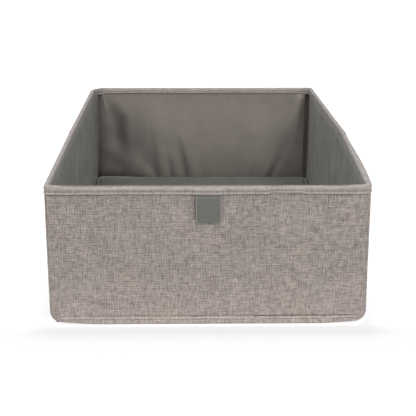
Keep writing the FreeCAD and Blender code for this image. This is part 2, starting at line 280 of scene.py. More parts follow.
def wall_point(wall, along, height, inset, widest=99.0):
    """A spot in mm: along a wall from its first corner, up, and in from the cloth's face."""
    first = WALLS.index(wall)
    start, end = CORNERS[first], CORNERS[(first + 1) % 4]
    length = (end - start).length
    way = (end - start) / length
    out = Vector((way.y, -way.x))
    if along < length / 2:
        index, corner, inward, run = first, start, way, along
    else:
        index, corner, inward, run = (first + 1) % 4, end, -way, length - along
    own = corner_radius(index, height) - inset
    radius = max(min(own, max(widest, own - 1.0)), LEAST_RADIUS)
    reach = radius + inset
    if run >= reach:
        spot = corner + inward * run - out * inset
    else:
        turn = math.radians(45.0) * (1.0 - run / reach)
        centre = corner + (inward - out) * reach
        spot = centre + out * (radius * math.cos(turn)) - inward * (radius * math.sin(turn))
    return Vector((spot.x + bow(spot.x, spot.y, height), spot.y, height))


def wall_at(distance):
    """The wall and the place along it, by the distance round from the front left corner."""
    distance %= sum(LENGTHS.values())
    for wall in WALLS:
        if distance <= LENGTHS[wall]:
            return wall, distance
        distance -= LENGTHS[wall]


def round_point(distance, height, inset):
    """The same spot as wall_point gives, by the distance round the box."""
    wall, along = wall_at(distance)
    return wall_point(wall, along, height, inset)


def side_bulge(spot):
    """How far the right wall's front half swells at the rim, in mm."""
    near = swell(spot.y + 180.0, 135.0) * ease(spot.x, 90.0, 150.0)
    return SIDE_BULGE * near * (spot.z / RIM) ** 2


def corner_flare(spot):
    """How far the front corners of the outer cloth stand wider than the outline, more low down."""
    front = 1.0 - ease(spot.y - FRONT, 20.0, 110.0)
    down = math.sqrt(max(0.0, 1.0 - spot.z / RIM))
    right, left = ease(spot.x, 90.0, 150.0), ease(-spot.x, 90.0, 150.0)
    return front * ((0.2 + 2.4 * down) * right - 0.5 * left)


def foot_lift(x, y):
    """How far the bottom edge is off the ground: a soft box touches it least at its corners."""
    side, end = min(x - LEFT, RIGHT - x), min(y - FRONT, BACK - y)
    return FOOT_LIFT * ease(50.0 - side, 0.0, 50.0) * ease(60.0 - end, 0.0, 60.0)


print("once round the walls:", sum(LENGTHS.values()), "mm")

# %% [markdown]
# A cloth is a grid. Its columns and rows are distances in mm, close together where
# something small happens and wide apart elsewhere, and a place rule says where each
# crossing hangs. The same distances become a UV map called weave, in metres, so threads
# keep their real size on every piece. Each spot also has a number called painted_shading.
# Above 0 the finish is painted darker, as painted shade in folds, creases and under
# things, because the soft lamps fill such places with more light than the real box
# shows, and below 0 it is painted paler, as painted light. A Solidify modifier gives
# the cloth its thickness behind the face that we shaped.


# %% Helpers for cloth
def ripple(x, y, z, seed):
    """Smooth noise from about -1 to 1, the same at each run."""
    return noise.noise(Vector((x, y, z + seed * 17.3)))


def steps(start, end, coarse, spots=()):
    """Distances from start to end, coarse apart, and finer at spots of (where, reach, step)."""
    found = [start]
    while found[-1] < end:
        here = found[-1]
        near = [step for where, reach, step in spots if abs(here - where) <= reach]
        found.append(here + min(near, default=coarse))
    found[-1] = end
    if len(found) > 2 and found[-1] - found[-2] < 0.2:
        found.pop(-2)
    return found


def cloth(name, columns, rows, place, thickness, finish, body, slot=None, closed=False,
          painted_shading=None):
    """A sheet of cloth on a grid of columns and rows, hung by its place rule."""
    shape = bmesh.new()
    # This layer holds each spot's painted light and shade.
    depth = shape.verts.layers.float.new("painted_shading")
    across, up = len(columns) - 1, len(rows) - 1
    bmesh.ops.create_grid(shape, x_segments=across, y_segments=up, size=0.5)
    cell = {v: (round((v.co.x + 0.5) * across), round((v.co.y + 0.5) * up)) for v in shape.verts}
    weave = shape.loops.layers.uv.new("weave")
    for face in shape.faces:
        face.smooth = True
        for corner in face.loops:
            i, j = cell[corner.vert]
            corner[weave].uv = (columns[i] * MM, rows[j] * MM)
    for v, (i, j) in cell.items():
        v.co = place(columns[i], rows[j]) * MM
        v[depth] = painted_shading(columns[i], rows[j]) if painted_shading else 0.0
    if closed:
        bmesh.ops.remove_doubles(shape, verts=shape.verts[:], dist=0.01 * MM)
    return piece(name, shape, finish, body, slot, thickness)


def piece(name, shape, finish, body, slot=None, thickness=0.0):
    """Turns a bmesh into a finished piece that rides on a body."""
    mesh = bpy.data.meshes.new(name)
    shape.to_mesh(mesh)
    shape.free()
    mesh.materials.append(finish)
    made = bpy.data.objects.new(name, mesh)
    bpy.context.scene.collection.objects.link(made)
    if thickness:
        layer = made.modifiers.new("thickness", "SOLIDIFY")
        layer.thickness, layer.offset = thickness * MM, -1.0
    if body:
        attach(made, body)
    print(name, len(mesh.polygons), "faces")
    return made


# %% [markdown]
# The outer cloth is a linen-look polyester: a plain weave of slub yarns, which are thick
# and thin, dark and pale along their length. A thread keeps its own shade for a
# centimetre or so, so we give each thread its own strip of noise, stretched along it.
# Paler and darker yarns also take turns, which is a sine across the cloth, and in some
# places the upright yarns show more, in others the level ones. A slow noise decides
# which, and another bends the yarns a little, as no loom keeps them straight. Real
# yarns lie about 0.5 mm apart. They are drawn coarser here, so that they show: the
# slubs 1.27 mm and the small crossings 0.86 mm apart.


# %% Linen-look cloth
YARN_PITCH = 1.27 * MM
YARN_PAIR = (2.55 * MM, 2.75 * MM)
SLUB_RUN = 8.0
FINE_YARN = 0.86 * MM
APART = 7.31  # how far apart in the noise two neighbouring threads read their shade
HOLE_INNER, HOLE_OUTER = 0.25 * MM, 0.75 * MM


def linen(name, dark, light, warmer, show=0.11, calm=0.44, holes=None):
    """Slub cloth, with needle holes along a seam if they are given as (pitch, rows).

    Show says how much the yarns that take turns show, and calm how even the slubs are.
    """
    material, tree = new_material(name)
    uv = add(tree, "UVMap", uv_map="weave")[0]
    drift = add(tree, "TexNoise", {"Vector": uv, "Scale": 70.0, "Detail": 1.0})["Color"]
    wander = add(tree, "VectorMath", {0: drift, 1: (0.9 * MM, 0.9 * MM, 0.0), 2: uv},
                 operation="MULTIPLY_ADD")[0]
    grid = add(tree, "VectorMath", {0: wander, 1: (1 / YARN_PITCH, 1 / YARN_PITCH, 0.0)},
               operation="MULTIPLY")[0]
    thread = add(tree, "VectorMath", {0: grid}, operation="FLOOR")[0]
    tones = []
    for own, along in (((APART, 0, 0), (0, 1 / SLUB_RUN, 0)),
                       ((0, APART, 0), (1 / SLUB_RUN, 0, 0))):
        run = add(tree, "VectorMath", {0: grid, 1: along}, operation="MULTIPLY")[0]
        at = add(tree, "VectorMath", {0: thread, 1: own, 2: run}, operation="MULTIPLY_ADD")[0]
        tones.append(add(tree, "TexNoise", {"Vector": at, "Scale": 1.0, "Detail": 3.0,
                                            "Roughness": 0.7})["Fac"])
    both = add(tree, "Math", {0: tones[0], 1: tones[1]}, operation="ADD")[0]
    slub = add(tree, "MapRange", {"Value": both, "From Min": 1 - calm, "From Max": 1 + calm})[0]
    turns = tuple(2 * math.pi / pair for pair in YARN_PAIR) + (0.0,)
    cycle = add(tree, "VectorMath", {0: wander, 1: turns}, operation="MULTIPLY")[0]
    waves = add(tree, "SeparateXYZ", {0: add(tree, "VectorMath", {0: cycle}, operation="SINE")[0]})
    patch = add(tree, "TexNoise", {"Vector": uv, "Scale": 170.0, "Detail": 2.0})["Fac"]
    upright = add(tree, "MapRange", {"Value": patch, "From Min": 0.30, "From Max": 0.70})[0]
    yarns = add(tree, "Mix", {0: upright, 2: waves[1], 3: waves[0]}, data_type="FLOAT")[0]
    coarse = add(tree, "Math", {0: yarns, 1: show, 2: slub}, operation="MULTIPLY_ADD")[0]
    # The real yarns, far finer, cross over and under like a small chequer.
    fine = 2 * math.pi / FINE_YARN
    small = add(tree, "VectorMath", {0: wander, 1: (fine, fine, 0.0)}, operation="MULTIPLY")[0]
    dips = add(tree, "SeparateXYZ", {0: add(tree, "VectorMath", {0: small}, operation="SINE")[0]})
    crossing = add(tree, "Math", {0: dips[0], 1: dips[1]}, operation="MULTIPLY")[0]
    tone = add(tree, "Math", {0: crossing, 1: 0.12, 2: coarse}, operation="MULTIPLY_ADD",
               use_clamp=True)[0]
    broad = add(tree, "TexNoise", {"Vector": uv, "Scale": 14.0, "Detail": 3.0})["Fac"]
    warm = add(tree, "MapRange", {"Value": broad, "From Min": 0.4, "From Max": 0.6})[0]
    pale = add(tree, "Mix", {MIX_FACTOR: warm, MIX_A: linear(light), MIX_B: linear(warmer)},
               data_type="RGBA")[MIX_RESULT]
    melange = add(tree, "Mix", {MIX_FACTOR: tone, MIX_A: linear(dark), MIX_B: pale},
                  data_type="RGBA")[MIX_RESULT]
    level = add(tree, "MapRange", {"Value": broad, "From Min": 0.3, "From Max": 0.7,
                                   "To Min": 0.95, "To Max": 1.05})[0]
    colour = add(tree, "VectorMath", {0: melange, "Scale": level}, operation="SCALE")[0]
    colour = paint_light_and_shade(tree, colour)
    if holes:
        pitch, rows = holes
        flat = add(tree, "SeparateXYZ", {0: uv})
        count = add(tree, "Math", {0: flat[0], 1: pitch * MM}, operation="DIVIDE")[0]
        part = add(tree, "Math", {0: count, 1: 0.5}, operation="PINGPONG")[0]
        side = add(tree, "Math", {0: part, 1: 0.6 * pitch * MM}, operation="MULTIPLY")[0]
        mask = 1.0
        for row in rows:
            off = add(tree, "Math", {0: flat[1], 1: row * MM}, operation="SUBTRACT")[0]
            away = add(tree, "CombineXYZ", {0: side, 1: off})[0]
            far = add(tree, "VectorMath", {0: away}, operation="LENGTH")[1]
            hole = add(tree, "MapRange", {"Value": far, "From Min": HOLE_INNER,
                                          "From Max": HOLE_OUTER, "To Min": 0.5})[0]
            mask = add(tree, "Math", {0: mask, 1: hole}, operation="MINIMUM")[0]
        mask = add(tree, "Math", {0: mask, 1: upright}, operation="MAXIMUM")[0]
        colour = add(tree, "VectorMath", {0: colour, "Scale": mask}, operation="SCALE")[0]
    pressed = add(tree, "Math", {0: crossing, 1: 0.35, 2: tone}, operation="MULTIPLY_ADD")[0]
    give_surface(tree, {"Base Color": colour, "Roughness": 0.9, "Specular IOR Level": 0.3,
                        "Sheen Weight": 0.1, "Sheen Roughness": 0.6}, pressed, 0.5, 0.25)
    return material


linen_cloth = linen("Slub linen-look polyester", "#675C56", "#D0C4BF", "#CEC3BA")


# %% [markdown]
# The lining is a spunbond non-woven: fine plastic fibres laid at random and pressed
# together with tiny points. It is smooth, a little silky, and takes soft folds. Two
# noises give it fibres and clouds, and a Voronoi pattern gives the pressed points. The
# back lining is the same cloth painted lighter and warmer, as painted light on the back
# wall, and its fibres show less. The base cloth is darker.


# %% Non-woven lining
def nonwoven(name, shade, bright, roughness=0.6, streak=0.4):
    """Spunbond cloth; streak says how much its long fibres show."""
    material, tree = new_material(name)
    uv = add(tree, "UVMap", uv_map="weave")[0]
    cloud = add(tree, "TexNoise", {"Vector": uv, "Scale": 35.0, "Detail": 4.0,
                                   "Roughness": 0.6})["Fac"]
    long = add(tree, "VectorMath", {0: uv, 1: (1.0, 0.09, 1.0)}, operation="MULTIPLY")[0]
    fibre = add(tree, "TexNoise", {"Vector": long, "Scale": 320.0, "Detail": 4.0})["Fac"]
    mixed = add(tree, "Math", {0: fibre, 1: streak, 2: cloud}, operation="MULTIPLY_ADD")[0]
    tone = add(tree, "MapRange", {"Value": mixed, "From Min": 0.30 + streak / 2,
                                  "From Max": 0.70 + streak / 2})[0]
    colour = add(tree, "Mix", {MIX_FACTOR: tone, MIX_A: linear(shade), MIX_B: linear(bright)},
                 data_type="RGBA")[MIX_RESULT]
    colour = paint_light_and_shade(tree, colour)
    point = add(tree, "TexVoronoi", {"Vector": uv, "Scale": 800.0, "Randomness": 0.2})["Distance"]
    height = add(tree, "Math", {0: point, 1: 0.6, 2: fibre}, operation="MULTIPLY_ADD")[0]
    give_surface(tree, {"Base Color": colour, "Roughness": roughness, "Specular IOR Level": 0.4,
                        "Sheen Weight": 0.08, "Sheen Roughness": 0.5}, height, 0.35, 0.12)
    return material


lining_cloth = nonwoven("Spunbond polypropylene lining", "#777772", "#92928D")
# The back lining is the lining painted lighter and warmer: painted light on the back wall.
back_lining_painted_lighter = nonwoven("Spunbond back lining painted lighter", "#948C86", "#A0978F", streak=0.1)
base_nonwoven = nonwoven("Dark spunbond base cloth", "#4A4B48", "#585955", roughness=0.75)

# %% [markdown]
# Each outer panel goes from one corner seam to the next, and from the base seam, round
# the soft roll under, up behind the binding. The relief is what a sewing machine does
# to it: a crease where the wall's board ends above the base, a rolled band below it,
# seams that pucker at the corners, and the slow waves of a cloth that isn't glued down.

# %% Outer cloth panels
FOOT_ROLL = 2.4
FOOT_FLAT, FOOT_ARC = ROLL - FOOT_ROLL, FOOT_ROLL * math.pi / 2
CLOTH_TOP = 147.3
CREASE_HEIGHT = 9.5
SEAM_RIDGE = 2.4


def foot_profile(climb):
    """How far in and how high, for a distance up the cloth from the base seam."""
    if climb < FOOT_FLAT:
        return ROLL - climb, 0.0
    if climb >= FOOT_FLAT + FOOT_ARC:
        return 0.0, FOOT_ROLL + climb - FOOT_FLAT - FOOT_ARC
    angle = (climb - FOOT_FLAT) / FOOT_ROLL
    return FOOT_ROLL * (1.0 - math.sin(angle)), FOOT_ROLL * (1.0 - math.cos(angle))


def hem_crease(wall, along):
    """How high the crease runs and how deep it is there, from 0 to 1."""
    length, seed = LENGTHS[wall], WALLS.index(wall)
    edge = min(along, length - along)
    drop = 3.0 if wall == "front" and along < length / 2 else 1.0
    crease = CREASE_HEIGHT - drop * ease(34.0 - edge, 0.0, 34.0)
    crease += 0.25 * ripple(along / 40, 0.0, 7.0, seed)
    strength = 0.5 + 0.5 * ripple(along / 26, 0.0, 5.0, seed)
    if wall == "front":
        deep = [swell(along - 95.0, 11.0), 0.9 * swell(along - 146.0, 30.0),
                ease(along, 196.0, 208.0) * ease(length - along, 8.0, 18.0)]
        strength = max(0.35, *deep)
    return crease, strength * ease(edge, 3.0, 9.0)


def outer_painted_shading(wall):
    """Painted light and shade on an outer panel: painted shade in its crease, on its underside,
    beside the tab and under the binding's lip, and painted light below the crease and low down.
    """
    def painted_shading(along, climb):
        height = foot_profile(climb)[1]
        crease, strength = hem_crease(wall, along)
        # Painted shade in the crease, and along a fainter line under it.
        dark = strength * swell(height - crease, 0.9) + 0.35 * swell(height - crease + 3.6, 0.8)
        # Painted light below the crease, and painted shade on the underside of the foot.
        dark -= 0.40 * ease(crease + 0.2 - height, 0.0, 1.0) - 1.1 * ease(1.5 - height, 0.0, 1.3)
        if wall == "front":
            # Painted shadow of the tab on the cloth beside it, most on its left.
            x = along + LEFT
            beside = 0.30 * ease(x, -24.0, -15.0) - 0.12 * ease(x, -14.0, 9.0)
            dark += ease(height, 108.0, 113.0) * beside * ease(12.0 - x, 0.0, 3.0)
        # Painted light: the cloth low down is paler.
        dark -= 0.36 * ease(70.0 - height, 0.0, 70.0)
        # Painted shadow under the binding's lip.
        return min(1.0, dark + 0.45 * swell(height - 138.6, 1.2))
    return painted_shading


def outer_relief(wall, along, height):
    """How far the outer cloth stands out from the plain wall, in mm."""
    seed = WALLS.index(wall)
    edge = min(along, LENGTHS[wall] - along)
    out = (0.35 * ripple(along / 55, height / 38, 0.0, seed)
           + 0.1 * ripple(along / 14, height / 12, 3.0, seed))
    # A pressed seam at each corner: a groove, a ridge beside it, and small puckers.
    out += 0.45 * swell(edge - SEAM_RIDGE, 2.0) - 0.5 * swell(edge, 1.6)
    out += 0.28 * ripple(edge / 9, height / 2.6, 9.0, seed) * ease(14.0 - edge, 0.0, 14.0)
    # The crease above the base, and the rolled band under it.
    crease, strength = hem_crease(wall, along)
    out -= 1.3 * strength * swell(height - crease, 0.9)
    out += 0.6 * swell(height - crease + 2.2, 2.0) + 0.3 * swell(height - crease - 1.7, 1.6)
    out += 0.45 * swell(height - crease + 6.4, 2.4) - 0.4 * swell(height - crease + 4.3, 0.9)
    # The cloth is drawn in under the binding.
    out -= 0.45 * swell(height - 138.5, 1.3)
    return out * ease(height, 0.5, 3.5)


def outer_place(wall):
    def place(along, climb):
        inset, height = foot_profile(climb)
        spot = wall_point(wall, along, height, inset - outer_relief(wall, along, height))
        lift = foot_lift(spot.x, spot.y) * ease(20.0 - height, 0.0, 20.0)
        return spot + Vector((corner_flare(spot) + side_bulge(spot), 0.0, lift))
    return place


CLOTH = 0.6
for wall in WALLS:
    length = LENGTHS[wall]
    spots = [(0.0, 5.0, 0.55), (length, 5.5, 0.55), (0.0, 22.0, 1.2), (length, 24.0, 1.2)]
    if wall in ("left", "right"):
        fold = FOLD_Y - FRONT if wall == "right" else BACK - FOLD_Y
        spots.append((fold, 9.0, 1.0))
    climb_end = CLOTH_TOP - FOOT_ROLL + FOOT_FLAT + FOOT_ARC
    rows = steps(0.0, climb_end, 2.4, [(0.0, 8.0, 0.7), (13.0, 4.6, 0.42), (141.0, 3.0, 0.5)])
    cloth("outer_cloth_" + wall, steps(0.0, length, 2.2, spots), rows,
                        outer_place(wall), CLOTH, linen_cloth, "box", "linen_fabric",
                        painted_shading=outer_painted_shading(wall))
    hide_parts("outer_" + wall)

# %% [markdown]
# The binding is one strip of the same cloth, 24 mm wide when finished. Its long edges
# are turned under, it is folded over the rim, and one line of stitches goes through
# everything, so both lips stand proud and the stitch line lies in a groove. We draw its
# cross-section once, as points from the outer lip over the top to the inner lip, and
# send it round the rim. The ends overlap on the front, where the join shows.

# %% Rim binding
BINDING_SECTION = (
    # how far in from the cloth's face, and how high
    (-0.50, 141.0), (-0.55, 139.9), (-0.70, 139.25), (-1.00, 139.0), (-1.32, 139.3),
    (-1.38, 140.0), (-1.15, 140.8), (-0.72, 141.5), (-0.60, 142.0), (-0.85, 142.6),
    (-1.05, 143.5), (-1.12, 144.8), (-1.00, 146.1), (-0.55, 147.15), (0.35, 147.85),
    (1.30, 148.0), (2.40, 148.0), (3.40, 147.85), (4.20, 147.2), (4.58, 146.2),
    (4.72, 145.0), (4.74, 143.9), (4.64, 143.2), (4.50, 142.7), (4.55, 142.2),
    (4.80, 141.6), (4.95, 141.0), (4.88, 140.5), (4.65, 140.2), (4.40, 140.7),
)


def smooth_section(points, parts):
    """More points on a smooth line through the given ones (Catmull-Rom)."""
    padded = [points[0], *points, points[-1]]
    found = []
    for a, b, c, d in zip(padded, padded[1:], padded[2:], padded[3:]):
        for k in range(parts):
            t = k / parts
            found.append(tuple(
                0.5 * (2 * q + (r - p) * t + (2 * p - 5 * q + 4 * r - s) * t * t
                       + (3 * q - p - 3 * r + s) * t ** 3)
                for p, q, r, s in zip(a, b, c, d)))
    return found + [points[-1]]


def measured(points):
    """The distance along a line at each of its points, and the point at each distance."""
    runs = [0.0]
    for (a, b), (c, d) in zip(points, points[1:]):
        runs.append(runs[-1] + math.hypot(c - a, d - b))
    return runs, {round(run, 6): point for run, point in zip(runs, points)}


section_run, place_in_section = measured(smooth_section(BINDING_SECTION, 2))
print("binding strip:", round(section_run[-1], 1), "mm wide")

GROOVE_OUT = section_run[BINDING_SECTION.index((-0.60, 142.0)) * 2]
GROOVE_IN = section_run[BINDING_SECTION.index((4.50, 142.7)) * 2]
STITCH = 2.6
JOIN, JOIN_FREE = 58.4 - LEFT, 95.6 - LEFT
STRIP_START, PERIMETER = JOIN - 12.0, sum(LENGTHS.values())
TAB_AT = -2.5
TAB_MIDDLE = TAB_AT - LEFT
FOLD_SPOTS = (LENGTHS["front"] + FOLD_Y - FRONT,
              2 * LENGTHS["front"] + LENGTHS["right"] + BACK - FOLD_Y)


def inner_rise(distance):
    """How much higher the inner leaf ends than it is drawn: most in front, least at corners."""
    wall, along = wall_at(distance)
    corner = 1.0 - ease(min(along, LENGTHS[wall] - along), 6.0, 26.0)
    behind = {"right": ease(along, 234.0, 242.0), "left": 1.0 - ease(along, 222.0, 230.0),
              "back": 1.0}.get(wall, 0.0)
    return 2.2 - 1.5 * behind - 1.6 * corner


def front_drop(distance):
    """How much lower the rim's top is in the middle of the front than at its corners."""
    wall, along = wall_at(distance)
    if wall != "front":
        return 0.0
    left, right = ease(along, 6.0, 26.0), ease(LENGTHS[wall] - along, 6.0, 26.0)
    return (1.3 - 0.5 * along / LENGTHS[wall]) * left * right


def binding_painted_shading(distance, across):
    """Painted shade in the stitched groove and on the side rims' inner leaf, and painted highlight
    on the rounded top and on the back's inner leaf.
    """
    inset, height = place_in_section[round(across, 6)]
    outside = 1.0 - ease(inset, 0.0, 3.0)
    wall, along = wall_at(distance)
    dark = outside * (0.25 * swell(height - 142.2, 1.3) - 0.30 * swell(height - 146.9, 1.8))
    # Painted light on the back's inner leaf, away from its corners.
    if wall == "back":
        left, right = ease(along, 4.0, 30.0), ease(LENGTHS[wall] - along, 4.0, 30.0)
        dark -= 0.55 * ease(inset, 2.6, 4.3) * left * right
    # Painted shade on the side rims' inner leaf.
    if wall in ("left", "right"):
        dark += 0.25 * ease(inset, 3.6, 4.6)
    return dark


def binding_place(distance, across):
    inset, height = place_in_section[round(across, 6)]
    outside = 1.0 - ease(inset, 0.0, 3.0)
    low = outside * ease(144.5 - height, 0.0, 5.0)
    out = (0.10 * ripple(distance / 21, height / 6, 1.0, 7)
           + 0.06 * ripple(distance / 4.5, height / 3, 6.0, 8))
    rise = 0.25 * ripple(distance / 60, 0.0, 2.0, 9) * (1 - ease(height, 140, 146))
    rise += inner_rise(distance) * (1.0 - outside) * ease(146.0 - height, 0.0, 5.0)
    rise -= front_drop(distance) * ease(height, 143.0, 147.0)
    if distance < PERIMETER / 2:
        # The strip's first end starts under the last and lies close until it comes free.
        out -= 0.32 * outside * (1.0 - ease(distance, JOIN, JOIN_FREE))
        rise += 1.7 * low * (1.0 - ease(distance, JOIN_FREE - 9.0, JOIN_FREE))
    else:
        over = ease(distance - PERIMETER, STRIP_START - 4.0, STRIP_START + 5.0)
        out += 0.5 * over
        rise += 0.15 * over * low + 0.9 * low * ease(distance - PERIMETER, JOIN - 4.0, JOIN)
    # The strip is pinched where the side walls fold.
    for fold in FOLD_SPOTS:
        out += 0.7 * swell(distance - fold + 2.0, 2.6) - 0.6 * swell(distance - fold - 1.4, 2.4)
    # The tab's tail lies under the strip and swells it.
    tab = 1.0 - ease(abs(distance % PERIMETER - TAB_MIDDLE), 12.0, 16.5)
    out += 1.25 * tab * outside * (1.0 - ease(height, 143.5, 146.5))
    lift = 0.25 * max(0.0, out) if height > 147.5 else 0.0
    spot = round_point(distance, height + rise + lift, inset - out * (outside * 2.0 - 1.0))
    return spot + Vector((side_bulge(spot) * (0.2 + 0.8 * (1.0 - ease(inset, 1.0, 4.5))), 0.0, 0.0))


rim_spots = []
for k in range(2):
    corner = k * PERIMETER
    for wall in WALLS:
        rim_spots.append((corner, 16.0, 0.9))
        corner += LENGTHS[wall]
rim_spots += [(JOIN + 15, 32.0, 0.8), (PERIMETER + JOIN - 6, 9.0, 0.5),
              (PERIMETER + TAB_MIDDLE, 19.0, 0.9), *((fold, 10.0, 0.8) for fold in FOLD_SPOTS)]
# The binding is cut from the wall cloth; its colours are painted lighter, as painted light on the
# rim.
binding_cloth_painted_lighter = linen("Slub linen-look binding", "#7C7470", "#D5CCC8", "#D2CAC3",
                    show=0.08, calm=0.56, holes=(STITCH, (GROOVE_OUT, GROOVE_IN)))
binding = cloth("rim_binding_strip", steps(STRIP_START, PERIMETER + JOIN, 2.8, rim_spots),
                section_run, binding_place, 0.3, binding_cloth_painted_lighter, "box", "linen_fabric",
                painted_shading=binding_painted_shading)
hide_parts("rim_binding")

# %% [markdown]
# The linings hang from the binding inside the walls. The front and side ones lie close
# to their boards, with faint upright ripples, and at each corner the seam is drawn back
# into a sharp groove that reads as a dark line. Their seen face looks into the box, so
# their columns run the other way round and the thickness goes towards the wall.

# %% Linings of the front and sides
LINING_IN, LINING = 3.9, 0.45
LINING_FOOT, LINING_BEND, LINING_TOP = 1.3, 4.0, 146.5
PINCH_DEPTH, PINCH_REACH, DEEPEST = 2.7, 2.6, 2.9
LINING_BULGE = 0.5


def lining_profile(climb):
    """How far in and how high, for a distance up the lining from the base seam."""
    if climb >= LINING_BEND:
        return LINING_IN, ROLL + climb - LINING_BEND
    angle = climb / LINING_BEND * math.pi / 2
    height = LINING_FOOT + (ROLL - LINING_FOOT) * (1 - math.cos(angle))
    return ROLL - (ROLL - LINING_IN) * math.sin(angle), height


def fold_off(wall, along, height):
    """How far a spot is from the crease of a side's middle fold, which leans back upwards."""
    y = along + FRONT if wall == "right" else BACK - along
    return y + 26.0 - 32.0 * height / 136.0


def under_binding(height):
    """Painted light that lifts the binding's shadow off the cloth just under it."""
    return 0.8 * ease(height, 132.0, 139.5)


def side_painted_shading(wall):
    """Painted light and shade on a close lining: painted light under the binding and towards the
    front of the sides, and a painted highlight and shade either side of a side's fold crease.
    """
    def painted_shading(back_along, climb):
        along, height = LENGTHS[wall] - back_along, lining_profile(climb)[1]
        # Painted light under the binding.
        dark = -under_binding(height)
        if wall in ("left", "right"):
            front = LENGTHS[wall] - along if wall == "left" else along
            # Painted light towards the front of the side.
            dark -= 0.22 * ease(150.0 - front, 0.0, 120.0)
            off = fold_off(wall, along, height)
            # Painted highlight just in front of the fold's crease, and painted shade just behind
            # it.
            dark -= 0.20 * swell(off + 1.2, 3.4) - 0.12 * swell(off - 3.4, 2.8)
        return dark
    return painted_shading


def side_relief(wall, along, height):
    """How far a close lining stands off its board, in mm, with the corner seams' grooves."""
    edge = min(along, LENGTHS[wall] - along)
    seed = 20 + WALLS.index(wall)
    out = abs(0.55 * ripple(along / 11, height / 120, 0.0, seed)
              + 0.4 * ripple(along / 45, height / 60, 3.0, seed))
    if wall in ("left", "right"):
        # The fold's crease is a soft ridge that leans back towards the rim.
        ridge = swell(fold_off(wall, along, height), 4.4)
        out += ridge * ease(height, 8.0, 30.0) * ease(139.0 - height, 0.0, 12.0)
    if wall == "right":
        # Past its board it sinks towards the back corner, which is a dark trough.
        out -= 2.2 * ease(along - LENGTHS[wall] + 14.0, 0.0, 7.0) * ease(height, 10.0, 24.0)
    return max(out - PINCH_DEPTH * swell(edge, PINCH_REACH), -DEEPEST)


# %% [markdown]
# The back lining is looser. It billows off its board and gathers in folds that fan out
# from the base seam, with one long fold sweeping down from the left corner. Each fold
# is a line of points, and each point gives its place, its height off the board and its
# breadth. The cloth rises with the nearest part of each line, as if it were sculpted.

# %% Folded lining of the back
BACK_FOLDS = (
    # (x, height above the ground, how far it stands off, breadth to the left, to the right)
    ((-150, 62, 0.4, 18, 18), (-139, 56, 1.7, 20, 22), (-112, 42, 2.4, 22, 22),
     (-84, 20, 3.0, 18, 12), (-74, 8, 2.0, 12, 8)),
    ((-151, 138, 1.2, 3, 4), (-147, 124, 1.8, 3, 5), (-142, 108, 0.3, 4, 6)),
    ((-143, 114, 0.2, 10, 14), (-142, 96, 1.4, 12, 15), (-142, 76, 1.5, 12, 15),
     (-143, 62, 0.8, 13, 15)),
    ((-56, 6, 3.2, 13, 11), (-58, 22, 3.4, 12, 10), (-61, 42, 2.6, 12, 12), (-66, 70, 0.6, 12, 16)),
    ((-38, 6, 2.6, 9, 10), (-39, 22, 2.8, 9, 9), (-42, 40, 1.6, 9, 10), (-48, 58, 0.1, 10, 12)),
    ((-14, 6, 3.4, 11, 16), (-15, 22, 3.6, 10, 15), (-21, 44, 3.0, 9, 16),
     (-29, 66, 1.5, 10, 18), (-34, 90, 0.1, 12, 20)),
    ((12, 6, 1.6, 9, 12), (11, 22, 1.2, 9, 12), (8, 36, 0.1, 9, 12)),
    ((90, 6, 1.8, 8, 9), (94, 24, 1.8, 8, 9), (99, 40, 0.2, 8, 10)),
    ((106, 6, 1.6, 12, 40), (114, 24, 1.8, 12, 36), (127, 50, 1.9, 15, 26),
     (134, 84, 2.2, 16, 14), (138, 112, 2.8, 14, 8), (140, 136, 2.6, 10, 5)),
)
BACK_PAINTED_SHADE_LINES = (
    # lines of painted shade: (x, height above the ground, how dark the painted shade is, breadth to
    # the left, to the right)
    ((-139, 130, 0.15, 11, 12), (-132, 118, 0.42, 16, 16), (-121, 104, 0.58, 19, 17),
     (-119, 82, 0.55, 19, 17), (-116, 62, 0.40, 18, 18), (-104, 48, 0.15, 12, 16)),
    ((-79, 100, 0.05, 22, 12), (-75, 78, 0.30, 22, 10), (-71, 48, 0.45, 20, 6),
     (-69, 16, 0.55, 9, 5)),
    ((-52, 54, 0.05, 6, 5), (-49, 30, 0.35, 6, 4), (-47.5, 16, 0.50, 5, 4)),
    ((-36, 76, 0.05, 9, 5), (-31, 52, 0.45, 10, 5), (-27, 30, 0.50, 7, 5), (-25.5, 16, 0.55, 5, 5)),
    ((70, 16, 0.30, 7, 7), (76, 42, 0.05, 8, 8)),
    ((92, 16, 0.32, 9, 8), (103, 32, 0.26, 11, 10), (114, 48, 0.24, 14, 11),
     (126, 80, 0.22, 17, 9), (132, 110, 0.12, 16, 7), (134, 130, 0.02, 12, 7)),
    ((-156, 12, 0.60, 20, 24), (-120, 12, 0.50, 20, 18), (-94, 12, 0.25, 10, 8)),
    ((-100, 100, 0.10, 40, 40), (-92, 70, 0.30, 44, 44), (-90, 50, 0.20, 30, 40)),
    ((152, 12, 0.35, 34, 20), (150, 40, 0.15, 18, 20), (150, 70, 0.05, 12, 20)),
    ((-154, 12, 0.35, 14, 16), (-154, 130, 0.35, 12, 16)),
)
FOLD_LIMIT = 7.6


def fold_height(fold, x, z):
    """The height of one fold at a spot: the most that any stretch of its line gives."""
    best = 0.0
    for (x0, z0, h0, l0, r0), (x1, z1, h1, l1, r1) in zip(fold, fold[1:]):
        dx, dz = x1 - x0, z1 - z0
        t = min(1.0, max(0.0, ((x - x0) * dx + (z - z0) * dz) / (dx * dx + dz * dz)))
        side, away = x - x0 - t * dx, math.hypot(x - x0 - t * dx, z - z0 - t * dz)
        breadth = l0 + (l1 - l0) * t if side < 0 else r0 + (r1 - r0) * t
        best = max(best, (h0 + (h1 - h0) * t) * swell(away, breadth))
    return best


